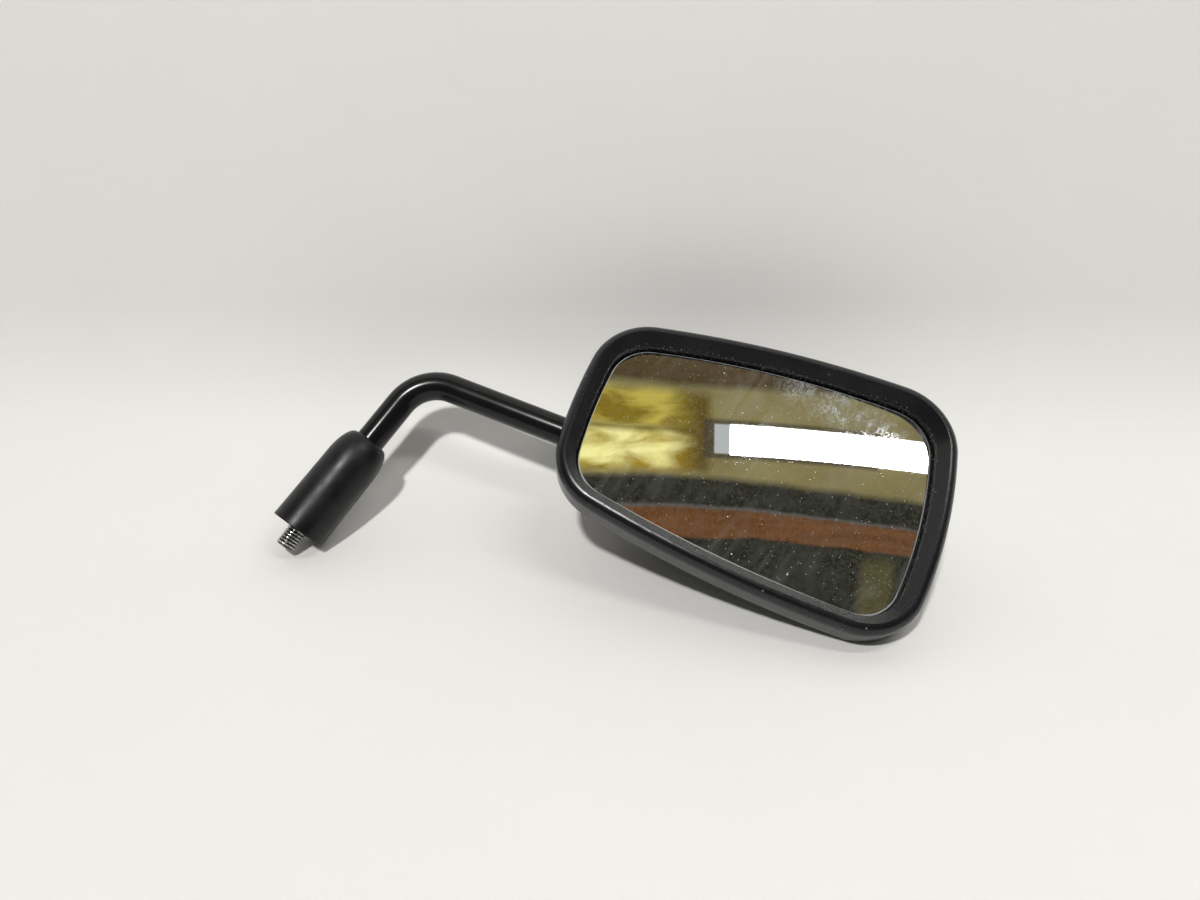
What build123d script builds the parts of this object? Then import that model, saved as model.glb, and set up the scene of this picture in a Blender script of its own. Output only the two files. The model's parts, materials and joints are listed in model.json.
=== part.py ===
from build123d import *
from math import cos, radians, sin, sqrt
import os

# Scooter mirror: threaded adapter, bent stem, ball joint and a convex glass in a domed housing.
# Object frame, millimetres: +Z runs up the lower stem, the origin is where the adapter seats on the
# handlebar perch, +X points outboard along the mirror head and the glass looks towards -Y.
# The head has its own frame, centred on the ball: x outboard, y up the face, z out through the glass.
# A "level" is a height along that z.

os.makedirs("parts", exist_ok=True)

# ---------------------------------------------------------------- driving dimensions
# adapter and lock nut
stud_radius = 4.0
stud_length = 14.0
stud_tip_chamfer = 1.0
hex_across_flats = 16.0
adapter_height = 14.0
socket_depth = 12.0
washer_thickness = 2.2
nut_height = 5.0
hex_corner_chamfer = 0.8
washer_slot_width = 1.2

# bent stem
rod_radius = 5.75
thread_radius = 5.0
running_clearance = 0.05
rod_shoulder_z = 23.0
corner_z = 71.7
upper_run = 91.1
upper_rise = 11.6
bend_radius = 17.0
rod_foot_chamfer = 0.6
rod_neck_chamfer = 1.2
thread_tip_chamfer = 0.8

# rubber boot
boot_mouth_z = -6.0
boot_length = 44.1
boot_mouth_radius = 10.95
boot_shoulder_radius = 10.7
boot_shoulder_z = 26.0
boot_lip_radius = 6.4
boot_cavity_radius = 9.4
boot_cavity_top_z = 24.0
boot_bore_bottom_z = 32.0
boot_mouth_fillet = 0.4

# ball joint
ball_radius = 7.5
neck_radius = 3.8
neck_length = 17.0
pin_radius = 3.0
liner_thickness = 1.55
liner_half_angle = 57.0
seat_radius = ball_radius + liner_thickness + 2 * running_clearance
base_floor = -12.0
base_top = -2.5
screw_circle = 13.5
ear_radius = 4.2
plate_thickness = 1.8
plate_level = 2.4
dish_thickness = 1.5
dish_top = 8.2
neck_swing = 13.0
neck_side_gap = 0.5
clamp_screw_radius = 2.0
clamp_screw_depth = 6.5
clamp_hole_depth = 7.0
clamp_head_height = 2.4
clamp_head_radius = 3.6
clamp_hole_gap = 0.2
spring_washer_height = 1.2
spring_washer_radius = 3.5
spring_washer_top_radius = 2.9
spring_washer_gap = 0.1
base_screw_radius = 1.75
base_screw_head_radius = 3.3
base_screw_head_height = 2.2
base_screw_sink = 1.0
base_screw_bite = 3.2
base_screw_angle = 60.0

# head attitude on the stem
head_tilt = 4.5
head_pan = 2.5

# glass outline in the head frame: corners clockwise from the stem side's top, each side bowed outwards
glass_corners = ((-16.1, 33.7), (101.5, 50.6), (106.6, -29.8), (-12.9, -23.4))
glass_bows = (4.3, 4.7, 3.9, 2.0)
glass_corner_radii = (15.1, 16.7, 14.1, 15.5)
face_centre = (44.0, 9.0)

# glass, foam pad and carrier plate, as heights above the ball
glass_crown = 20.5
glass_thickness = 3.0
glass_curvature = 1200.0
glass_edge_chamfer = 0.45
carrier_back = 13.0
carrier_thickness = 2.0
carrier_inset = 2.5
foam_inset = 1.5
carrier_holes = [(26.0, 33.0), (88.0, 40.0), (84.0, -11.0), (26.0, -17.0)]
carrier_screw_radius = 1.75
carrier_head_radius = 3.4
carrier_screw_length = 8.5
seal_level = 17.0
seal_gap = 0.05

# rim around the glass
rim_ridge_level = 26.8
rim_ridge_offset = 4.5
rim_width = 8.25
rim_shoulder_level = 22.5
rim_gap = 0.9
rim_lip_level = 22.8
rim_ridge_fillet = 0.7
rim_lip_fillet = 0.3
rim_rear_fillet = 0.5
parting_level = 13.7
tongue_depth = 1.0
tongue_inset = 2.4
tongue_thickness = 1.2

# rear shell: its walls lean in to a smaller outline at the crown's level
shell_inset = 0.6
shell_wall = 2.2
shell_crown = -19.0
shell_crown_radius = 300.0
shell_edge_radius = 11.0
back_centre = (20.0, 4.0)
back_corners = ((-14.0, 25.0), (78.0, 34.0), (52.0, -6.0), (-14.0, -20.0))
back_bows = (3.0, 3.0, 2.5, 1.5)
back_corner_radii = (15.0, 17.0, 15.0, 15.0)
boss_radius = 4.0
boss_foot_flare = 0.6
pad_radius = 18.0
pad_depth = 8.0
opening_start = 9.0
opening_end = 45.0
neck_opening_height = 11.75
neck_opening_depth = 10.6
neck_opening_corner = 6.0
grommet_wall = 1.2
grommet_stand = 0.9

# ---------------------------------------------------------------- shared frames and profiles
rise = radians(upper_rise)
corner_point = Vector(0, 0, corner_z)
upper_direction = Vector(cos(rise), 0, sin(rise))
ball_centre = corner_point + upper_direction * upper_run

neck_frame = Plane(origin=ball_centre, x_dir=upper_direction, z_dir=(0, -1, 0))
head = Plane(neck_frame.location * Location((0, 0, 0), (-head_tilt, head_pan, 0)))


def bowed_outline(corners, bows, radii, grow):
    """A four-sided outline of arcs, grown outwards: every side and corner keeps its centre."""
    with BuildSketch() as plain:
        with BuildLine():
            for start, end, bow in zip(corners, corners[1:] + corners[:1], bows):
                SagittaArc(start, end, bow)
        make_face()
        for corner, radius in zip(corners, radii):
            fillet(plain.vertices().sort_by_distance((*corner, 0))[0], radius)
    with BuildSketch() as grown:
        with BuildLine():
            for edge in plain.edges():
                centre = edge.arc_center
                stretch = 1 + grow / edge.radius
                ThreePointArc(*[centre + (edge @ share - centre) * stretch for share in (0, 0.5, 1)])
        make_face()
    return grown.sketch


def outline(grow):
    """The glass outline, grown outwards."""
    return bowed_outline(glass_corners, glass_bows, glass_corner_radii, grow)


def shell_form(margin):
    """The housing's outer solid, grown by a margin: leaning walls and a crowned, rounded back."""
    crown = shell_crown - margin
    with BuildPart() as form:
        with BuildSketch(head.offset(parting_level)):
            add(outline(rim_width - shell_inset + margin))
        with BuildSketch(head.offset(crown)):
            add(bowed_outline(back_corners, back_bows, back_corner_radii, margin))
        loft()
        dome = head.offset(crown + shell_crown_radius)
        with Locations(dome.location * Location((*back_centre, 0))):
            Sphere(shell_crown_radius, rotation=(90, 0, 0), mode=Mode.INTERSECT)
        back_edges = form.faces().sort_by(Axis(ball_centre, -head.z_dir))[-1].edges()
        fillet(back_edges, shell_edge_radius + margin)
    return form.part


def neck_tube(wall, start, end):
    """A rounded bar along the neck: the opening that the stem swings in, grown by a wall."""
    side = Plane(origin=ball_centre, x_dir=head.y_dir, z_dir=-head.x_dir)
    width = 2 * (neck_opening_height + wall)
    depth = 2 * (neck_opening_depth + wall)
    with BuildPart() as bar:
        with BuildSketch(side.offset(start)):
            RectangleRounded(width, depth, neck_opening_corner + wall)
        extrude(amount=end - start)
    return bar.part


def neck_clearance():
    """The space that the thin neck sweeps through: a square funnel opening towards the stem."""
    side = Plane(origin=ball_centre, x_dir=head.y_dir, z_dir=-head.x_dir)
    funnel_width = 2 * (neck_radius + neck_side_gap)
    with BuildPart() as funnel:
        with BuildSketch(side):
            Rectangle(funnel_width, funnel_width)
        extrude(amount=opening_end, taper=-neck_swing)
    return funnel.part


def ball_liner(side):
    """A thin spherical cup on the front (+1) or the back (-1) of the ball."""
    inner = ball_radius + running_clearance
    outer = inner + liner_thickness
    rim_height = outer * cos(radians(liner_half_angle))
    with BuildPart() as liner:
        with Locations(head.location):
            Sphere(outer)
            Sphere(inner, mode=Mode.SUBTRACT)
        with BuildSketch(head.offset(side * rim_height)):
            Circle(2 * outer)
        extrude(amount=-side * 2 * outer, mode=Mode.SUBTRACT)
    return liner


def pan_screw(top, head_height, head_radius, shank_radius, tip):
    """One pan-head screw on the local z axis, with a cross recess in its head."""
    slot_length = 1.2 * head_radius
    slot_width = 0.3 * head_radius
    slot_depth = 0.5 * head_height
    with BuildPart() as screw:
        with BuildSketch(Plane.XY.offset(top - head_height)):
            Circle(head_radius)
        extrude(amount=head_height)
        fillet(screw.edges().sort_by(Axis.Z)[-1], 0.4 * head_height)
        with BuildSketch(Plane.XY.offset(top - head_height)):
            Circle(shank_radius)
        extrude(amount=tip - top + head_height)
        chamfer(screw.edges().sort_by(Axis.Z)[0], 0.3 * shank_radius)
        with BuildSketch(Plane.XY.offset(top)):
            Rectangle(slot_length, slot_width)
            Rectangle(slot_width, slot_length)
        extrude(amount=-slot_depth, mode=Mode.SUBTRACT)
    return screw.part


# ---------------------------------------------------------------- adapter, washer and lock nut
washer_z = adapter_height
nut_z = washer_z + washer_thickness
hex_corner_radius = hex_across_flats / sqrt(3)


def hex_prism(bottom, height):
    """A hexagon bar with its corners turned down at both ends."""
    with BuildPart() as prism:
        with BuildSketch(Plane.XY.offset(bottom)):
            RegularPolygon(hex_across_flats / 2, 6, major_radius=False)
        extrude(amount=height)
        with BuildSketch(Plane.XZ):
            with BuildLine():
                Polyline(
                    (0, bottom),
                    (hex_corner_radius - hex_corner_chamfer, bottom),
                    (hex_corner_radius, bottom + hex_corner_chamfer / 2),
                    (hex_corner_radius, bottom + height - hex_corner_chamfer / 2),
                    (hex_corner_radius - hex_corner_chamfer, bottom + height),
                    (0, bottom + height),
                    close=True,
                )
            make_face()
        revolve(axis=Axis.Z, mode=Mode.INTERSECT)
    return prism.part


with BuildPart() as stud_adapter:
    add(hex_prism(0, adapter_height))
    with BuildSketch():
        Circle(stud_radius)
    extrude(amount=-stud_length)
    chamfer(stud_adapter.edges().sort_by(Axis.Z)[0], stud_tip_chamfer)
    with BuildSketch(Plane.XY.offset(adapter_height)):
        Circle(thread_radius + running_clearance)
    extrude(amount=-socket_depth, mode=Mode.SUBTRACT)
stud_adapter.part.label = "stud_adapter"

with BuildPart() as lock_washer:
    with BuildSketch(Plane.XY.offset(washer_z)):
        Circle(hex_across_flats / 2)
        Circle(thread_radius + 2 * running_clearance, mode=Mode.SUBTRACT)
        with Locations((0, -hex_across_flats / 3)):
            Rectangle(washer_slot_width, hex_across_flats / 2, rotation=20, mode=Mode.SUBTRACT)
    extrude(amount=washer_thickness)
lock_washer.part.label = "lock_washer"

with BuildPart() as lock_nut:
    add(hex_prism(nut_z, nut_height))
    with BuildSketch(Plane.XY.offset(nut_z)):
        Circle(thread_radius + running_clearance)
    extrude(amount=nut_height, mode=Mode.SUBTRACT)
lock_nut.part.label = "lock_nut"

# ---------------------------------------------------------------- bent stem and its ball
thread_bottom_z = adapter_height - socket_depth + 0.5
ball_flat = 0.8 * ball_radius
pin_reach = 0.5 * ball_radius

with BuildPart() as stem_rod:
    with BuildLine() as rod_path:
        FilletPolyline(
            (0, 0, rod_shoulder_z),
            corner_point,
            corner_point + upper_direction * (upper_run - neck_length),
            radius=bend_radius,
        )
    with BuildSketch(Plane.XY.offset(rod_shoulder_z)):
        Circle(rod_radius)
    sweep(path=rod_path.line)
    chamfer(stem_rod.edges().sort_by(Axis.Z)[0], rod_foot_chamfer)
    shoulder_edge = stem_rod.edges().filter_by(GeomType.CIRCLE).sort_by(Axis(ball_centre, upper_direction))
    chamfer(shoulder_edge[-1], rod_neck_chamfer)
    with BuildSketch(Plane.XY.offset(thread_bottom_z)):
        Circle(thread_radius)
    extrude(amount=rod_shoulder_z - thread_bottom_z)
    chamfer(stem_rod.edges().sort_by(Axis.Z)[0], thread_tip_chamfer)
    neck_end = Plane(origin=ball_centre, z_dir=upper_direction)
    with BuildSketch(neck_end.offset(-neck_length)):
        Circle(neck_radius)
    extrude(amount=neck_length - ball_flat)
    with BuildSketch(neck_end.offset(-ball_flat)):
        Circle(pin_radius)
    extrude(amount=ball_flat + pin_reach)
stem_rod.part.label = "stem_rod"

with BuildPart() as stem_ball:
    with Locations(neck_end.location):
        Sphere(ball_radius)
    with BuildSketch(neck_end.offset(-ball_radius)):
        Circle(neck_radius)
    extrude(amount=ball_radius - ball_flat, mode=Mode.SUBTRACT)
    with BuildSketch(neck_end.offset(-ball_radius)):
        Circle(pin_radius)
    extrude(amount=ball_radius + pin_reach, mode=Mode.SUBTRACT)
stem_ball.part.label = "stem_ball"

# ---------------------------------------------------------------- rubber boot
boot_top_z = boot_mouth_z + boot_length
boot_bore = rod_radius + running_clearance

with BuildPart() as rubber_boot:
    with BuildSketch(Plane.XZ):
        with BuildLine():
            Line((boot_mouth_radius, boot_mouth_z), (boot_shoulder_radius, boot_shoulder_z))
            EllipticalCenterArc(
                (boot_lip_radius, boot_shoulder_z),
                boot_shoulder_radius - boot_lip_radius,
                boot_top_z - boot_shoulder_z,
                arc_size=90,
            )
            Polyline(
                (boot_lip_radius, boot_top_z),
                (boot_bore, boot_top_z),
                (boot_bore, boot_bore_bottom_z),
                (boot_cavity_radius, boot_cavity_top_z),
                (boot_cavity_radius, boot_mouth_z),
                (boot_mouth_radius, boot_mouth_z),
            )
        make_face()
    revolve(axis=Axis.Z)
    fillet(rubber_boot.edges().group_by(Axis.Z)[0], boot_mouth_fillet)
rubber_boot.part.label = "rubber_boot"

# ---------------------------------------------------------------- ball liners, socket base and clamp
rear_ball_liner = ball_liner(-1)
rear_ball_liner.part.label = "rear_ball_liner"
front_ball_liner = ball_liner(1)
front_ball_liner.part.label = "front_ball_liner"

with BuildPart() as socket_base:
    with BuildSketch(head.offset(base_floor)):
        with PolarLocations(screw_circle, 3):
            Circle(ear_radius)
        with PolarLocations(screw_circle, 2, base_screw_angle, 4 * base_screw_angle, endpoint=True):
            Circle(ear_radius)
        make_hull()
    extrude(amount=base_top - base_floor)
    with Locations(head.location):
        Sphere(seat_radius, mode=Mode.SUBTRACT)
    with BuildSketch(head.offset(base_top)):
        with PolarLocations(screw_circle, 3):
            Circle(clamp_screw_radius)
    extrude(amount=-clamp_hole_depth, mode=Mode.SUBTRACT)
    with BuildSketch(head.offset(base_top)):
        with PolarLocations(screw_circle, 2, base_screw_angle, 4 * base_screw_angle, endpoint=True):
            Circle(base_screw_head_radius)
    extrude(amount=-base_screw_head_height - base_screw_sink, mode=Mode.SUBTRACT)
    with BuildSketch(head.offset(base_top)):
        with PolarLocations(screw_circle, 2, base_screw_angle, 4 * base_screw_angle, endpoint=True):
            Circle(base_screw_radius)
    extrude(amount=base_floor - base_top, mode=Mode.SUBTRACT)
    add(neck_clearance(), mode=Mode.SUBTRACT)
socket_base.part.label = "socket_base"

base_screw_top = base_top - base_screw_sink
base_screw_tip = base_floor - base_screw_bite
with BuildPart() as base_screws:
    with Locations(head.location):
        with PolarLocations(screw_circle, 2, base_screw_angle, 4 * base_screw_angle, endpoint=True):
            add(pan_screw(base_screw_top, base_screw_head_height, base_screw_head_radius,
                          base_screw_radius, base_screw_tip))
base_screws.part.label = "base_screws"

with BuildPart() as clamp_plate:
    with Locations(head.location):
        Sphere(seat_radius + dish_thickness)
    with BuildSketch(head.offset(dish_top)):
        Circle(2 * seat_radius)
    extrude(amount=2 * seat_radius, mode=Mode.SUBTRACT)
    with BuildSketch(head.offset(plate_level)):
        Circle(2 * seat_radius)
    extrude(amount=-2 * seat_radius, mode=Mode.SUBTRACT)
    with BuildSketch(head.offset(plate_level)):
        with PolarLocations(screw_circle, 3):
            Circle(ear_radius)
        make_hull()
    extrude(amount=plate_thickness)
    with Locations(head.location):
        Sphere(seat_radius, mode=Mode.SUBTRACT)
    with BuildSketch(head.offset(plate_level)):
        with PolarLocations(screw_circle, 3):
            Circle(clamp_screw_radius + clamp_hole_gap)
    extrude(amount=plate_thickness, mode=Mode.SUBTRACT)
    add(neck_clearance(), mode=Mode.SUBTRACT)
clamp_plate.part.label = "clamp_plate"

spring_washer_bottom = plate_level + plate_thickness
with BuildPart() as clamp_spring_washers:
    with Locations(head.location):
        with PolarLocations(screw_circle, 3):
            with Locations((0, 0, spring_washer_bottom + spring_washer_height / 2)):
                Cone(spring_washer_radius, spring_washer_top_radius, spring_washer_height)
                Hole(clamp_screw_radius + spring_washer_gap)
clamp_spring_washers.part.label = "clamp_spring_washers"

clamp_screw_top = spring_washer_bottom + spring_washer_height + clamp_head_height
with BuildPart() as clamp_screws:
    with Locations(head.location):
        with PolarLocations(screw_circle, 3):
            add(pan_screw(clamp_screw_top, clamp_head_height, clamp_head_radius,
                          clamp_screw_radius, base_top - clamp_screw_depth))
clamp_screws.part.label = "clamp_screws"

# ---------------------------------------------------------------- rear shell and neck grommet
with BuildPart() as shell_bosses:
    with BuildSketch(head.offset(base_floor)):
        Circle(pad_radius)
        with Locations(*carrier_holes):
            Circle(boss_radius + boss_foot_flare)
    extrude(amount=-pad_depth)
    with BuildSketch(head.offset(carrier_back)):
        with Locations(*carrier_holes):
            Circle(boss_radius)
    extrude(amount=base_floor - carrier_back)
    add(shell_form(-shell_wall / 2), mode=Mode.INTERSECT)

with BuildPart() as rear_shell:
    add(shell_form(0))
    add(shell_form(-shell_wall), mode=Mode.SUBTRACT)
    add(shell_bosses.part)
    with BuildSketch(head.offset(carrier_back)):
        with Locations(*carrier_holes):
            Circle(carrier_screw_radius)
    extrude(amount=carrier_thickness - carrier_screw_length, mode=Mode.SUBTRACT)
    with BuildSketch(head.offset(base_floor)):
        with PolarLocations(screw_circle, 2, base_screw_angle, 4 * base_screw_angle, endpoint=True):
            Circle(base_screw_radius)
    extrude(amount=base_screw_tip - base_floor, mode=Mode.SUBTRACT)
    add(neck_tube(grommet_wall, opening_start, opening_end), mode=Mode.SUBTRACT)
rear_shell.part.label = "rear_shell"

with BuildPart() as neck_grommet:
    add(neck_tube(grommet_wall, opening_start, opening_end))
    add(neck_tube(0, opening_start - 1, opening_end + 1), mode=Mode.SUBTRACT)
    add(shell_form(grommet_stand), mode=Mode.INTERSECT)
    add(shell_form(-shell_wall - grommet_stand), mode=Mode.SUBTRACT)
neck_grommet.part.label = "neck_grommet"

# ---------------------------------------------------------------- carrier plate, foam pad and glass
carrier_front = carrier_back + carrier_thickness
with BuildPart() as carrier_plate:
    with BuildSketch(head.offset(carrier_back)):
        add(outline(-carrier_inset))
        with Locations(*carrier_holes):
            Circle(carrier_screw_radius, mode=Mode.SUBTRACT)
    extrude(amount=carrier_thickness)
    with BuildSketch(head.offset(carrier_front)):
        with Locations(*carrier_holes):
            Circle(carrier_head_radius)
    extrude(amount=carrier_screw_radius - carrier_head_radius, taper=45, mode=Mode.SUBTRACT)
carrier_plate.part.label = "carrier_plate"

with BuildPart() as carrier_screws:
    with BuildSketch(head.offset(carrier_front)):
        with Locations(*carrier_holes):
            Circle(carrier_head_radius)
    extrude(amount=carrier_screw_radius - carrier_head_radius, taper=45)
    with BuildSketch(head.offset(carrier_front)):
        with Locations(*carrier_holes):
            Circle(carrier_screw_radius)
    extrude(amount=-carrier_screw_length)
carrier_screws.part.label = "carrier_screws"

glass_back = glass_crown - glass_thickness
front_dome = head.offset(glass_crown - glass_curvature).location * Location((*face_centre, 0))
back_dome_radius = glass_curvature - glass_thickness

with BuildPart() as mirror_glass:
    with BuildSketch(head.offset(carrier_front)):
        add(outline(0))
    extrude(amount=glass_crown)
    with Locations(front_dome):
        Sphere(glass_curvature, rotation=(90, 0, 0), mode=Mode.INTERSECT)
    with Locations(front_dome):
        Sphere(back_dome_radius, rotation=(90, 0, 0), mode=Mode.SUBTRACT)
    chamfer(mirror_glass.faces().sort_by(Axis(ball_centre, head.z_dir))[-1].edges(), glass_edge_chamfer)
mirror_glass.part.label = "mirror_glass"

with BuildPart() as foam_pad:
    with BuildSketch(head.offset(carrier_front)):
        add(outline(-foam_inset))
    extrude(amount=glass_crown)
    with Locations(front_dome):
        Sphere(back_dome_radius, rotation=(90, 0, 0), mode=Mode.INTERSECT)
foam_pad.part.label = "foam_pad"

with BuildPart() as glass_seal:
    with BuildSketch(head.offset(carrier_front)):
        add(outline(rim_gap))
        add(outline(seal_gap), mode=Mode.SUBTRACT)
    extrude(amount=seal_level - carrier_front)
glass_seal.part.label = "glass_seal"

# ---------------------------------------------------------------- rim around the glass
rim_path = (head * outline(0)).wire()
rim_tangent = rim_path % 0
rim_outward = rim_tangent.cross(head.z_dir)
if (rim_path @ 0 - head.from_local_coords((*face_centre, 0))).dot(rim_outward) < 0:
    rim_outward = -rim_outward
rim_section = Plane(origin=rim_path @ 0, x_dir=rim_outward, z_dir=rim_outward.cross(head.z_dir))
tongue_outside = rim_width - shell_inset - shell_wall - tongue_inset
tongue_inside = tongue_outside - tongue_thickness

with BuildPart() as bezel_rim:
    with BuildSketch(rim_section) as rim_profile:
        with BuildLine():
            Line((rim_gap, rim_lip_level), (rim_ridge_offset, rim_ridge_level))
            EllipticalCenterArc(
                (rim_ridge_offset, rim_shoulder_level),
                rim_width - rim_ridge_offset,
                rim_ridge_level - rim_shoulder_level,
                arc_size=90,
            )
            Polyline(
                (rim_width, rim_shoulder_level),
                (rim_width, parting_level),
                (tongue_outside, parting_level),
                (tongue_outside, parting_level - tongue_depth),
                (tongue_inside, parting_level - tongue_depth),
                (tongue_inside, parting_level),
                (rim_gap, parting_level),
                (rim_gap, rim_lip_level),
            )
        make_face()
        ridge = rim_section.from_local_coords((rim_ridge_offset, rim_ridge_level, 0))
        lip = rim_section.from_local_coords((rim_gap, rim_lip_level, 0))
        rear = rim_section.from_local_coords((rim_width, parting_level, 0))
        fillet(rim_profile.vertices().sort_by_distance(ridge)[0], rim_ridge_fillet)
        fillet(rim_profile.vertices().sort_by_distance(lip)[0], rim_lip_fillet)
        fillet(rim_profile.vertices().sort_by_distance(rear)[0], rim_rear_fillet)
    sweep(path=rim_path)
bezel_rim.part.label = "bezel_rim"

# ---------------------------------------------------------------- files
pieces = [
    stud_adapter, lock_washer, lock_nut, rubber_boot, stem_rod, stem_ball, rear_ball_liner,
    front_ball_liner, socket_base, base_screws, clamp_plate, clamp_spring_washers, clamp_screws,
    rear_shell, neck_grommet, carrier_plate, carrier_screws, foam_pad, mirror_glass, glass_seal,
    bezel_rim,
]
for piece in pieces:
    export_step(piece.part, f"parts/{piece.part.label}.step")
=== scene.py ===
import json
from math import cos, pi, radians, sin, sqrt

import bpy
import bmesh
from mathutils import Euler, Matrix, Vector


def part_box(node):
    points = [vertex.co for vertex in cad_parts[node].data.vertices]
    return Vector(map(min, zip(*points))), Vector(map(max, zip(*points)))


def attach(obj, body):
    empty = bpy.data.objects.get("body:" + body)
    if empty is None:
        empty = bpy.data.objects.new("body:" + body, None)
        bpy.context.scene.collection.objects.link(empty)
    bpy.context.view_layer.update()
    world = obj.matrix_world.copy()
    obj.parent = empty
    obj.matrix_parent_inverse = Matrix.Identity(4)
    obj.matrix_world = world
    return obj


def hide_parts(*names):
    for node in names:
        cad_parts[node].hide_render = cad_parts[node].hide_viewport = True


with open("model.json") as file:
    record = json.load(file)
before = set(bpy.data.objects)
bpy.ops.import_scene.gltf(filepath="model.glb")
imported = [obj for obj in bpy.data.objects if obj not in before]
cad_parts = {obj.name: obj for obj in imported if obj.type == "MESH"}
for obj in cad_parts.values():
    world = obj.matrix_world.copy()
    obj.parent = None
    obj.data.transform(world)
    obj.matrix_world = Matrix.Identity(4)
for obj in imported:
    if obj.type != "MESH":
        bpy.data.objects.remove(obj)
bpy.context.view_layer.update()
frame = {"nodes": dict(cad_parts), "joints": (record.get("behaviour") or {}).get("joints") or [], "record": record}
nodes = frame["nodes"]
scene = bpy.context.scene

# ---------------------------------------------------------------- the floor that the mirror lies on
# The floor's frame has X to the right, Y away from the camera and Z up, in metres. The object stays in the
# CAD frame, and this matrix places the floor, the camera, the ceiling and the lights round it. Its origin is
# the point of the floor below the camera.
floor_turn = Euler((radians(50.342), radians(-34.870), radians(4.075)))
floor_origin = (0.233724, -0.154566, -0.119781)
floor = Matrix.Translation(floor_origin) @ floor_turn.to_matrix().to_4x4()

# ---------------------------------------------------------------- camera
camera_height = 0.224165
camera_pitch = radians(32.6)
camera_data = bpy.data.cameras.new("camera")
camera_data.lens = 27.15
camera_data.sensor_width = 36
camera_data.clip_start = 0.01
camera = bpy.data.objects.new("camera", camera_data)
scene.collection.objects.link(camera)
camera.matrix_world = (floor @ Matrix.Translation((0, 0, camera_height))
                       @ Matrix.Rotation(pi / 2 - camera_pitch, 4, "X"))
scene.camera = camera
scene.view_settings.view_transform = "Standard"
scene.view_settings.look = "None"


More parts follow.
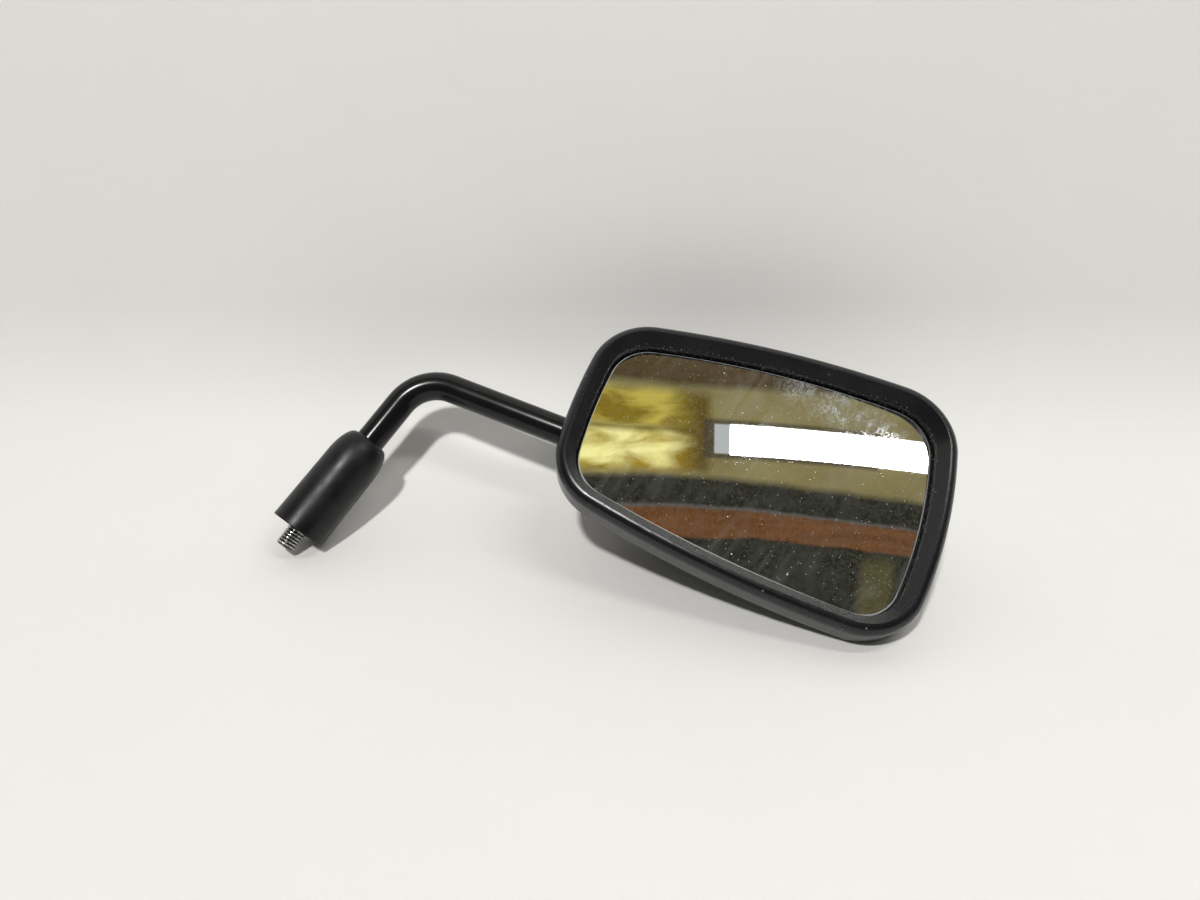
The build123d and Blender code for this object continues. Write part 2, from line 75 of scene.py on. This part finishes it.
# ---------------------------------------------------------------- material helpers
class Graph:
    """One Principled material and the nodes that vary it. Its coordinates are the object's, in metres."""

    def __init__(self, name, colour, roughness, metallic=0.0, **sockets):
        self.material = bpy.data.materials.new(name)
        self.material.use_nodes = True
        self.tree = self.material.node_tree
        self.shader = self.tree.nodes["Principled BSDF"]
        coordinates = self.tree.nodes.new("ShaderNodeTexCoord")
        self.place = coordinates.outputs["Object"]
        self.normal = coordinates.outputs["Normal"]
        self.set(self.shader, "Base Color", (*colour, 1))
        self.set(self.shader, "Roughness", roughness)
        self.set(self.shader, "Metallic", metallic)
        for socket, value in sockets.items():
            self.set(self.shader, socket.replace("_", " "), value)
        self.bumped = None

    def set(self, node, socket, value):
        """Link a socket to an input, or set the input to a plain value."""
        if isinstance(value, bpy.types.NodeSocket):
            self.tree.links.new(value, node.inputs[socket])
        else:
            node.inputs[socket].default_value = value

    def noise(self, size, detail=3.0, stretch=(1, 1, 1), distortion=0.0):
        """Noise with features of that size in metres. A stretch under 1 draws them out along that axis."""
        mapping = self.tree.nodes.new("ShaderNodeMapping")
        self.set(mapping, "Scale", stretch)
        self.set(mapping, "Vector", self.place)
        texture = self.tree.nodes.new("ShaderNodeTexNoise")
        self.set(texture, "Vector", mapping.outputs["Vector"])
        self.set(texture, "Scale", 1 / size)
        self.set(texture, "Detail", detail)
        self.set(texture, "Distortion", distortion)
        return texture.outputs["Fac"]

    def specks(self, spacing, size, share):
        """1 inside small round specks of that size, on a share of the cells, and 0 elsewhere."""
        texture = self.tree.nodes.new("ShaderNodeTexVoronoi")
        self.set(texture, "Vector", self.place)
        self.set(texture, "Scale", 1 / spacing)
        inside = self.ramp(texture.outputs["Distance"], size / spacing * 0.7, size / spacing, 1, 0)
        cell = self.tree.nodes.new("ShaderNodeSeparateColor")
        self.set(cell, "Color", texture.outputs["Color"])
        chosen = self.ramp(cell.outputs["Red"], share, share + 0.01, 1, 0)
        return self.maths("MULTIPLY", inside, chosen)

    def vector(self, operation, first, second, output="Vector"):
        """Vector arithmetic. The output is named Value where the result is a number."""
        node = self.tree.nodes.new("ShaderNodeVectorMath")
        node.operation = operation
        self.set(node, 0, first)
        self.set(node, 1, second)
        return node.outputs[output]

    def near(self, centre, reach):
        """1 at a point in metres, falling to 0 at that reach."""
        return self.ramp(self.vector("DISTANCE", self.place, centre, "Value"), 0, reach, 1, 0)

    def level(self, origin, direction):
        """Height in metres above a plane through the origin, along a direction."""
        return self.vector("DOT_PRODUCT", self.vector("SUBTRACT", self.place, origin), direction, "Value")

    def inward(self, centre):
        """1 on walls that face a centre 20 mm away or more, 0 on walls that face away from it."""
        facing, sideways = -0.020, -0.005
        from_centre = self.vector("SUBTRACT", self.place, centre)
        outward = self.vector("DOT_PRODUCT", from_centre, self.normal, "Value")
        return self.ramp(outward, facing, sideways, 1, 0)

    def from_axis(self):
        """Distance in metres from the CAD frame's Z axis, the axis of the stud."""
        flat = self.vector("MULTIPLY", self.place, (1, 1, 0))
        return self.vector("LENGTH", flat, (0, 0, 0), "Value")

    def ramp(self, value, low, high, out_low, out_high):
        """Map low to high onto out_low to out_high, held at both ends."""
        node = self.tree.nodes.new("ShaderNodeMapRange")
        for socket, given in (("Value", value), ("From Min", low), ("From Max", high),
                              ("To Min", out_low), ("To Max", out_high)):
            self.set(node, socket, given)
        return node.outputs["Result"]

    def maths(self, operation, first, second):
        node = self.tree.nodes.new("ShaderNodeMath")
        node.operation = operation
        self.set(node, 0, first)
        self.set(node, 1, second)
        return node.outputs["Value"]

    def mix(self, factor, first, second):
        """The first colour where the factor is 0, and the second where it is 1."""
        factor_input, first_input, second_input, colour_output = 0, 6, 7, 2
        node = self.tree.nodes.new("ShaderNodeMix")
        node.data_type = "RGBA"
        self.set(node, factor_input, factor)
        for socket, colour in ((first_input, first), (second_input, second)):
            self.set(node, socket, colour if isinstance(colour, bpy.types.NodeSocket) else (*colour, 1))
        return node.outputs[colour_output]

    def bump(self, height, distance, strength=1.0):
        """Relief of that distance in metres, on top of any relief that is there already."""
        node = self.tree.nodes.new("ShaderNodeBump")
        self.set(node, "Height", height)
        self.set(node, "Distance", distance)
        self.set(node, "Strength", strength)
        if self.bumped:
            self.set(node, "Normal", self.bumped)
        self.bumped = node.outputs["Normal"]
        self.set(self.shader, "Normal", self.bumped)

    def colour(self, value):
        self.set(self.shader, "Base Color", value)

    def roughness(self, value):
        self.set(self.shader, "Roughness", value)


def tinted(colour, share):
    """The colour made darker or paler by a share of itself."""
    return tuple(min(1, channel * share) for channel in colour)


# ---------------------------------------------------------------- material recipes
dust_colour = (0.30, 0.28, 0.25)


def moulded_plastic(name, colour, gloss, grain, recess=None):
    """Semi-gloss moulded plastic: fine grain, flow variation, light handling marks and dust specks.

    recess: where grit gathers, on walls that face a centre and lie low above an origin along a direction:
    (origin, direction, floor, brim, centre), in metres."""
    g = Graph(name, colour, gloss, Specular_IOR_Level=0.42)
    flow = g.noise(size=0.018, detail=4)
    marks = g.ramp(g.noise(size=0.004, detail=6, stretch=(1, 1, 5), distortion=1.5), 0.58, 0.72, 0, 1)
    dust = g.maths("MULTIPLY", g.specks(spacing=0.0032, size=0.00035, share=0.12), 0.7)
    if recess:
        origin, direction, bottom, brim, centre = recess
        low = g.maths("MULTIPLY", g.ramp(g.level(origin, direction), bottom, brim, 1, 0), g.inward(centre))
        grit = g.specks(spacing=0.0010, size=0.00030, share=0.45)
        dust = g.maths("MAXIMUM", dust, g.maths("MULTIPLY", grit, low))
    clean = g.mix(flow, tinted(colour, 0.8), tinted(colour, 1.3))
    g.colour(g.mix(dust, clean, dust_colour))
    rough = g.ramp(flow, 0.3, 0.7, gloss - 0.04, gloss + 0.04)
    rough = g.maths("ADD", rough, g.maths("MULTIPLY", marks, 0.06))
    g.roughness(g.maths("ADD", rough, g.maths("MULTIPLY", dust, 0.5)))
    g.bump(g.noise(size=0.00045, detail=2), grain)
    return g.material


def gloss_paint():
    """Black stove enamel on tube: orange peel, faint wipe marks, a few dust nibs."""
    g = Graph("stem_paint", (0.006, 0.006, 0.007), 0.20, Specular_IOR_Level=0.30)
    flow = g.noise(size=0.012, detail=5, stretch=(1, 1, 0.3))
    nibs = g.specks(spacing=0.0045, size=0.0003, share=0.18)
    g.colour(g.mix(nibs, g.mix(flow, (0.005, 0.005, 0.006), (0.009, 0.009, 0.010)), dust_colour))
    g.roughness(g.ramp(flow, 0.3, 0.7, 0.18, 0.23))
    g.bump(g.noise(size=0.0016, detail=2), 0.000006)
    g.bump(nibs, 0.00004)
    return g.material


def moulded_rubber(name, colour, grip):
    """Matt rubber: mould bloom, soft dimples and lint."""
    g = Graph(name, colour, grip, Specular_IOR_Level=0.32)
    bloom = g.noise(size=0.009, detail=5)
    lint = g.specks(spacing=0.0026, size=0.00025, share=0.14)
    clean = g.mix(g.ramp(bloom, 0.35, 0.75, 0, 1), colour, tinted(colour, 1.9))
    g.colour(g.mix(g.maths("MULTIPLY", lint, 0.6), clean, dust_colour))
    g.roughness(g.ramp(bloom, 0.3, 0.7, grip - 0.08, grip + 0.08))
    g.bump(g.noise(size=0.0005), 0.00004)
    g.bump(g.noise(size=0.006, detail=2), 0.0002, 0.4)
    return g.material


def plated_steel(name, colour, gloss, streak, roots=None):
    """Zinc-plated or bare steel: machining streaks, cloudy passivation, dirt, and painted shade in a thread's
    grooves.

    roots: the radii in metres between which a thread's grooves are darkened, painted shade with some old grease."""
    g = Graph(name, colour, gloss, 1.0)
    cloud = g.noise(size=0.003, detail=4)
    grime_and_groove_shade = g.maths("MULTIPLY", g.ramp(g.noise(size=0.0018, detail=5), 0.60, 0.78, 0, 1), 0.5)
    if roots:
        bottom, flank = roots
        # Painted shade in the thread's grooves, with some old grease: darker towards the bottom of each groove.
        grime_and_groove_shade = g.maths("MAXIMUM", grime_and_groove_shade, g.ramp(g.from_axis(), bottom, flank, 0.92, 0))
    g.colour(g.mix(grime_and_groove_shade, g.mix(cloud, tinted(colour, 0.82), colour), (0.10, 0.09, 0.06)))
    g.roughness(g.ramp(cloud, 0.3, 0.7, gloss - 0.08, gloss + 0.12))
    g.bump(g.noise(size=0.0006, stretch=streak), 0.00001)
    return g.material


def plain_moulding(name, colour, gloss, grain_size=0.0006):
    """Inner plastic, foam or cast pieces: a grain and a slight tone change."""
    g = Graph(name, colour, gloss)
    tone = g.noise(size=0.006, detail=4)
    g.colour(g.mix(tone, tinted(colour, 0.75), tinted(colour, 1.15)))
    g.roughness(g.ramp(tone, 0.3, 0.7, gloss - 0.07, gloss + 0.07))
    g.bump(g.noise(size=grain_size), grain_size / 8)
    return g.material


def silvered_glass(face, smears):
    """Mirror glass: handling prints, smears and dust on the front, a ground edge where it turns sideways.

    face: the direction that the glass looks in. smears: a centre and a reach in metres for each print."""
    silver = (0.86, 0.86, 0.83)
    grease_tint = (0.50, 0.55, 0.57)
    dirt_tint = (0.74, 0.77, 0.75)
    g = Graph("mirror_silver", silver, 0.02, 1.0)
    facing = g.maths("ABSOLUTE", g.vector("DOT_PRODUCT", g.normal, face, "Value"), 0.0)
    edge = g.ramp(facing, 0.80, 0.97, 1, 0)

    ridges = g.ramp(g.noise(size=0.0021, distortion=1.6), 0.45, 0.55, 0, 1)
    cloth = g.ramp(g.noise(size=0.010, detail=6, stretch=(1, 1, 0.25), distortion=2.5), 0.42, 0.66, 0, 1)
    breath = g.ramp(g.noise(size=0.024), 0.40, 0.66, 0, 1)
    wiped = g.maths("MULTIPLY", cloth, breath)
    handled = 0.0
    for centre, reach in smears:
        handled = g.maths("MAXIMUM", handled, g.near(centre, reach))
    uneven = g.ramp(g.noise(size=0.007, detail=5, distortion=1.0), 0.40, 0.62, 0.25, 1)
    patchy = g.maths("MULTIPLY", handled, uneven)
    grease = g.maths("MULTIPLY", patchy, g.ramp(ridges, 0, 1, 0.25, 1))
    film = g.maths("MAXIMUM", grease, g.maths("MULTIPLY", wiped, 0.14))
    film = g.maths("MAXIMUM", film, g.maths("MULTIPLY", ridges, 0.050))

    fine = g.specks(spacing=0.0011, size=0.00013, share=0.35)
    coarse = g.specks(spacing=0.004, size=0.0003, share=0.15)
    dust = g.maths("MAXIMUM", g.maths("MULTIPLY", fine, 0.8), coarse)
    dirt = g.maths("MAXIMUM", dust, edge)
    g.colour(g.mix(dirt, g.mix(film, silver, grease_tint), dirt_tint))
    cover = g.maths("MAXIMUM", g.maths("MULTIPLY", dirt, 0.85), g.maths("MULTIPLY", film, 0.55))
    g.set(g.shader, "Metallic", g.maths("SUBTRACT", 1.0, cover))
    g.roughness(g.maths("ADD", g.ramp(film, 0, 1, 0.008, 0.085), g.maths("MULTIPLY", dirt, 0.35)))
    return g.material


# ---------------------------------------------------------------- finishes of the CAD pieces
roll = next(joint for joint in frame["joints"] if joint["name"] == "head_roll")
face_out = Vector(roll["axis"])
head_pivot = Vector(roll["pos_m"])
glass_low, glass_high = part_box("mirror_glass")
face_centre = (Vector(glass_low) + Vector(glass_high)) / 2
# The rim's throat round the glass, where grit lies: from full to none between these heights over the pivot.
throat_bottom, throat_brim = 0.0222, 0.0234
# The greasy patch where a thumb holds the glass: places in the CAD frame and how far each reaches.
smears = [((0.131, -0.014, 0.146), 0.012), ((0.147, -0.013, 0.147), 0.015),
          ((0.161, -0.0125, 0.1465), 0.014), ((0.171, -0.012, 0.143), 0.012)]
# Radii at the bottom and up the flanks of the stud's thread, between which its grooves are darkened with painted
# shade.
groove_shade_radii = (0.0034, 0.00385)

finishes = {
    "stem_paint": gloss_paint(),
    "rim_plastic": moulded_plastic("rim_plastic", (0.0080, 0.0085, 0.0100), 0.25, 0.000004,
                                   (head_pivot, face_out, throat_bottom, throat_brim, face_centre)),
    "shell_plastic": moulded_plastic("shell_plastic", (0.015, 0.0155, 0.017), 0.34, 0.000008),
    "boot_rubber": moulded_rubber("boot_rubber", (0.0055, 0.0055, 0.0065), 0.38),
    "grommet_rubber": moulded_rubber("grommet_rubber", (0.012, 0.012, 0.012), 0.65),
    "seal_rubber": moulded_rubber("seal_rubber", (0.008, 0.008, 0.008), 0.7),
    "zinc_plate": plated_steel("zinc_plate", (0.80, 0.81, 0.81), 0.24, (0.3, 0.3, 8), groove_shade_radii),
    "screw_steel": plated_steel("screw_steel", (0.62, 0.62, 0.64), 0.34, (1, 1, 1)),
    "pressed_steel": plated_steel("pressed_steel", (0.60, 0.57, 0.48), 0.38, (4, 0.4, 0.4)),
    "bright_steel": plated_steel("bright_steel", (0.70, 0.70, 0.70), 0.18, (1, 1, 1)),
    "nylon": plain_moulding("nylon", (0.66, 0.64, 0.58), 0.45),
    "die_cast": plain_moulding("die_cast", (0.42, 0.42, 0.43), 0.5, 0.0012),
    "carrier_plastic": plain_moulding("carrier_plastic", (0.025, 0.025, 0.027), 0.55),
    "foam": plain_moulding("foam", (0.04, 0.04, 0.042), 0.9, 0.0009),
    "mirror_silver": silvered_glass(face_out, smears),
}
slot_of = {part["node"]: part["material_slot"] for part in frame["record"]["subparts"]}
for name, node in nodes.items():
    node.data.materials.clear()
    node.data.materials.append(finishes[slot_of[name]])


# ---------------------------------------------------------------- object helpers
def linked(name, mesh):
    """A new object in the scene from a finished bmesh, which is freed."""
    data = bpy.data.meshes.new(name)
    mesh.to_mesh(data)
    mesh.free()
    thing = bpy.data.objects.new(name, data)
    scene.collection.objects.link(thing)
    return thing


def hide_from(thing, *rays):
    """Make an object invisible to those kinds of ray."""
    for ray in rays:
        setattr(thing, "visible_" + ray, False)


# ---------------------------------------------------------------- threaded adapter
# One closed lathe form, metres: thread, seat, hexagon with turned corners and the stem's socket.
stud_radius = 0.004
stud_length = 0.014
tip_chamfer = 0.001
pitch = 0.00125
thread_depth = 0.00076
groove_half_width = 0.42  # of the pitch
root_share = 0.12  # of the depth, cut off flat at the bottom of the groove
thread_runout = 0.0012
hexagon = 0.016
adapter_height = 0.014
corner_chamfer = 0.0008
seat_share = 0.85  # of the hexagon, flat before its corners turn up
socket_radius = 0.00505
socket_floor = 0.002
socket_lead = 0.0004
centre_radius = 0.0005  # of the small disc that closes each end
sides = 96
thread_steps = 132


def thread_radius(angle, height):
    """Metric thread: flat crests and roots and 60 degree flanks, fading out at the tip and the seat."""
    phase = (height / pitch - angle / (2 * pi)) % 1
    groove = max(0.0, 1 - abs(phase - 0.5) / groove_half_width)
    depth = thread_depth * min(1.0, groove * (1 + root_share))
    runout = min(1.0, -height / thread_runout)
    tip = stud_radius - tip_chamfer + height + stud_length
    return min(stud_radius - depth * max(0.0, runout), tip)


def hexagon_radius(angle, height):
    """Across flats at the middle of a side, cut back by the turned corners at both ends."""
    turn = (angle + pi / 6) % (pi / 3) - pi / 6
    flat = hexagon / 2 / cos(turn)
    corner = hexagon / sqrt(3)
    end = min(height, adapter_height - height)
    return min(flat, corner - corner_chamfer + 2 * end)


def circle(radius, height):
    """A ring of the lathe form: its radius at every angle, and its height."""
    return (lambda angle: radius, height)


def hexagon_ring(height, share=1.0):
    return (lambda angle: share * hexagon_radius(angle, height), height)


def thread_ring(height):
    return (lambda angle: thread_radius(angle, height), height)


corner_steps = [corner_chamfer * share for share in (0, 1 / 8, 1 / 4, 1 / 2, 1)]
rings = [circle(centre_radius, -stud_length)]
rings += [thread_ring(stud_length * (step / thread_steps - 1)) for step in range(thread_steps + 1)]
rings += [hexagon_ring(0, seat_share)]
rings += [hexagon_ring(step) for step in corner_steps]
rings += [hexagon_ring(adapter_height - step) for step in reversed(corner_steps)]
rings += [circle(socket_radius + socket_lead, adapter_height),
          circle(socket_radius, adapter_height - socket_lead),
          circle(socket_radius, socket_floor),
          circle(centre_radius, socket_floor)]

mesh = bmesh.new()
loops = []
for radius_at, height in rings:
    loop = []
    for side in range(sides):
        angle = 2 * pi * side / sides
        radius = radius_at(angle)
        loop.append(mesh.verts.new((radius * cos(angle), radius * sin(angle), height)))
    loops.append(loop)
for lower, upper in zip(loops, loops[1:]):
    for side in range(sides):
        following = (side + 1) % sides
        mesh.faces.new((lower[side], lower[following], upper[following], upper[side]))
mesh.faces.new(list(reversed(loops[0])))
mesh.faces.new(loops[-1])
bmesh.ops.recalc_face_normals(mesh, faces=mesh.faces)
adapter = linked("threaded_adapter", mesh)
adapter.data.shade_smooth()
adapter.data.set_sharp_from_angle(angle=radians(35))
adapter.data.materials.append(finishes["zinc_plate"])
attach(adapter, "adapter")
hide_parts("stud_adapter")

# ---------------------------------------------------------------- floor sheet that sweeps up into a wall
sheet_front = -0.8
cove_start = 0.281
cove_radius = 0.082
cove_steps = 32
wall_lean = radians(9)
wall_height = 1.1
sheet_half_width = 1.6

profile = [(sheet_front, 0.0), (0.0, 0.0), (cove_start, 0.0)]
sweep = pi / 2 - wall_lean
for step in range(1, cove_steps + 1):
    turn = sweep * step / cove_steps
    profile.append((cove_start + cove_radius * sin(turn), cove_radius * (1 - cos(turn))))
foot_away, foot_height = profile[-1]
profile.append((foot_away + wall_height * sin(wall_lean), foot_height + wall_height * cos(wall_lean)))

mesh = bmesh.new()
rows = [[mesh.verts.new((x, y, z)) for x in (-sheet_half_width, sheet_half_width)] for y, z in profile]
for near, far in zip(rows, rows[1:]):
    mesh.faces.new((near[0], near[1], far[1], far[0]))
sheet = linked("floor_sheet", mesh)
sheet.data.shade_smooth()
sheet.matrix_world = floor

# Pale vinyl with a faint weave. Its back is clear, so that it doesn't hide the mirror from behind.
g = Graph("sheet_vinyl", (0.80, 0.79, 0.755), 0.55)
g.colour(g.mix(g.noise(size=0.09), (0.80, 0.79, 0.76), (0.84, 0.83, 0.80)))
weave = 0.0024
threads = g.maths("ADD", g.noise(size=weave, detail=2, stretch=(0.02, 1, 1)),
                  g.noise(size=weave, detail=2, stretch=(1, 0.02, 0.02)))
g.bump(threads, 0.00012, 0.5)
g.bump(g.noise(size=0.16, detail=2), 0.004, 0.25)
clear = g.tree.nodes.new("ShaderNodeBsdfTransparent")
either = g.tree.nodes.new("ShaderNodeMixShader")
geometry = g.tree.nodes.new("ShaderNodeNewGeometry")
g.set(either, 0, geometry.outputs["Backfacing"])
g.set(either, 1, g.shader.outputs["BSDF"])
g.set(either, 2, clear.outputs["BSDF"])
g.set(g.tree.nodes["Material Output"], "Surface", either.outputs["Shader"])
sheet.data.materials.append(g.material)

# ---------------------------------------------------------------- ceiling, seen only in reflections, glowing with a painted picture of the room and its light and shade
ceiling_height = 1.2
ceiling_half = 3.5
mesh = bmesh.new()
mesh.faces.new([mesh.verts.new((x * ceiling_half, y * ceiling_half, ceiling_height))
                for x, y in ((-1, -1), (-1, 1), (1, 1), (1, -1))])
ceiling = linked("ceiling", mesh)
ceiling.matrix_world = floor
hide_from(ceiling, "camera", "diffuse", "shadow")

# What lies where on the ceiling, from and to, in metres away from the camera or across to the right.
board_slant = 0.072
lamp_slant = 0.035
timber_away = (0.235, 0.42)
olive_away = (0.005, 0.235)
foam_away, foam_across = (0.018, 0.218), (-0.6, 0.185)
lit_foam_away = (-0.1, 0.122)
foam_crease_shade_away = (0.112, 0.130)
foam_shade_across = (0.12, 0.5)
beam_away = (-0.140, -0.066)
beam_highlight_away = (-0.074, -0.05)
post_away, post_across = (-0.34, -0.16), (0.575, 0.655)
lamp_away, lamp_across = (0.062, 0.135), (0.232, 1.6)
cap_across = (0.195, 0.232)
recess_away, recess_across = (0.050, 0.147), (0.170, 0.6)

g = Graph("ceiling_glow", (0, 0, 0), 1.0)
split = g.tree.nodes.new("ShaderNodeSeparateXYZ")
g.set(split, "Vector", g.place)
across = split.outputs["X"]
wander = g.ramp(g.noise(size=0.16, detail=4), 0, 1, -0.012, 0.012)
along_boards = g.maths("ADD", split.outputs["Y"], g.maths("MULTIPLY", across, board_slant))
along_boards = g.maths("ADD", along_boards, wander)
along_lamp = g.maths("ADD", split.outputs["Y"], g.maths("MULTIPLY", across, lamp_slant))


def between(coordinate, limits, soft):
    """1 where the coordinate lies between the limits, with edges that soft."""
    low, high = limits
    rise = g.ramp(coordinate, low - soft, low + soft, 0, 1)
    fall = g.ramp(coordinate, high - soft, high + soft, 1, 0)
    return g.maths("MULTIPLY", rise, fall)


def board(limits, soft):
    return between(along_boards, limits, soft)


def fitting(away_limits, across_limits, soft):
    """A clean-edged oblong in the lamp's direction."""
    return g.maths("MULTIPLY", between(along_lamp, away_limits, soft), between(across, across_limits, soft))


boards = g.mix(g.noise(size=0.06, detail=5), (0.012, 0.012, 0.008), (0.040, 0.040, 0.028))
timber_grain = g.noise(size=0.05, detail=5, stretch=(0.3, 1, 1))
timber = g.mix(timber_grain, (0.040, 0.024, 0.008), (0.125, 0.086, 0.036))
olive = g.mix(g.noise(size=0.10, detail=5, stretch=(0.5, 1, 1)), (0.15, 0.115, 0.045), (0.35, 0.31, 0.135))
billow = g.ramp(g.noise(size=0.075, detail=8, stretch=(0.65, 1.6, 1), distortion=0.45), 0.38, 0.62, 0, 1)
# Painted light on the reflected foam: a lit, glinting copy below, a shaded copy above, a painted shaded crease
# between them and painted shade over its right end.
shaded_foam = g.mix(billow, (0.24, 0.17, 0.012), (0.56, 0.46, 0.08))
lit_foam = g.mix(billow, (0.40, 0.28, 0.012), (1.05, 0.98, 0.40))
foam = g.mix(board(lit_foam_away, 0.012), shaded_foam, lit_foam)
foam = g.mix(g.maths("MULTIPLY", board(foam_crease_shade_away, 0.008), 0.75), foam, (0.16, 0.11, 0.012))
foam = g.mix(between(across, foam_shade_across, 0.04), foam, (0.13, 0.088, 0.015))
rust = g.noise(size=0.02, detail=5, stretch=(0.12, 1, 1))
beam = g.mix(rust, (0.092, 0.034, 0.009), (0.205, 0.092, 0.036))
# A painted highlight along the beam's top edge.
beam = g.mix(board(beam_highlight_away, 0.002), beam, (0.105, 0.090, 0.080))

foam_here = g.maths("MULTIPLY", board(foam_away, 0.014), between(across, foam_across, 0.012))
post_here = g.maths("MULTIPLY", board(post_away, 0.02), between(across, post_across, 0.012))
recess_here = g.maths("MULTIPLY", fitting(recess_away, recess_across, 0.004), 0.8)
glow = g.mix(board(timber_away, 0.012), boards, timber)
glow = g.mix(board(olive_away, 0.010), glow, olive)
glow = g.mix(foam_here, glow, foam)
glow = g.mix(board(beam_away, 0.004), glow, beam)
glow = g.mix(post_here, glow, (0.085, 0.075, 0.032))
glow = g.mix(recess_here, glow, (0.060, 0.048, 0.030))
glow = g.mix(fitting(lamp_away, cap_across, 0.002), glow, (0.50, 0.53, 0.53))
glow = g.mix(fitting(lamp_away, lamp_across, 0.002), glow, (6.0, 6.0, 6.0))
# The whole ceiling glows with these colours, though only the lamp strip is a lamp.
emission = g.tree.nodes.new("ShaderNodeEmission")
g.set(emission, "Color", glow)
g.set(g.tree.nodes["Material Output"], "Surface", emission.outputs["Emission"])
ceiling.data.materials.append(g.material)

# ---------------------------------------------------------------- dark flag, seen only by glossy rays
# It stands low in front of the mirror, so that the black plastic and paint reflect something dark: painted shade
# for the dark room in front.
flag_away = 0.03
flag_half_width = 0.7
flag_height = 0.42
mesh = bmesh.new()
mesh.faces.new([mesh.verts.new((x * flag_half_width, flag_away, z * flag_height))
                for x, z in ((-1, 0), (1, 0), (1, 1), (-1, 1))])
flag = linked("flag", mesh)
flag.matrix_world = floor
hide_from(flag, "camera", "diffuse", "shadow", "transmission")
g = Graph("flag_painted_shade", (0.02, 0.02, 0.02), 0.9)
g.bump(g.noise(size=0.001, detail=2), 0.0001)
flag.data.materials.append(g.material)


# ---------------------------------------------------------------- lights
def area_light(name, place, size, power):
    """A rectangular light that shines along the local -Z of its place in the floor's frame."""
    data = bpy.data.lights.new(name, "AREA")
    data.shape = "RECTANGLE"
    data.size, data.size_y = size
    data.energy = power
    data.color = (1.0, 0.997, 0.99)
    light = bpy.data.objects.new(name, data)
    scene.collection.objects.link(light)
    light.matrix_world = floor @ place


# The key stands left of the camera and behind it, and looks at the middle of the floor.
key_position = Vector((-0.42, -0.80, 2.0))
key_target = Vector((0, 0.29, 0))
key_aim = (key_target - key_position).to_track_quat("-Z", "Y").to_matrix().to_4x4()
area_light("key", Matrix.Translation(key_position) @ key_aim, (0.16, 0.16), 33.0)

# The tube is the lamp that shows in the glass, just below the ceiling.
tube_length = 0.768
tube_width = lamp_away[1] - lamp_away[0]
tube_across = lamp_across[0] + tube_length / 2
tube_away = sum(lamp_away) / 2 - lamp_slant * tube_across
tube_place = (Matrix.Translation((tube_across, tube_away, ceiling_height - 0.01))
              @ Matrix.Rotation(-lamp_slant, 4, "Z"))
area_light("tube", tube_place, (tube_length, tube_width), 3.6)

# The sky fills the shadows a little, and the camera sees it as a pale background round the sheet.
fill_strength = 0.14
background_strength = 0.70
world = bpy.data.worlds.new("studio")
world.use_nodes = True
backdrop = world.node_tree.nodes["Background"]
backdrop.inputs["Color"].default_value = (1.0, 0.995, 0.985, 1)
rays = world.node_tree.nodes.new("ShaderNodeLightPath")
strength = world.node_tree.nodes.new("ShaderNodeMapRange")
strength.inputs["To Min"].default_value = fill_strength
strength.inputs["To Max"].default_value = background_strength
world.node_tree.links.new(rays.outputs["Is Camera Ray"], strength.inputs["Value"])
world.node_tree.links.new(strength.outputs["Result"], backdrop.inputs["Strength"])
scene.world = world
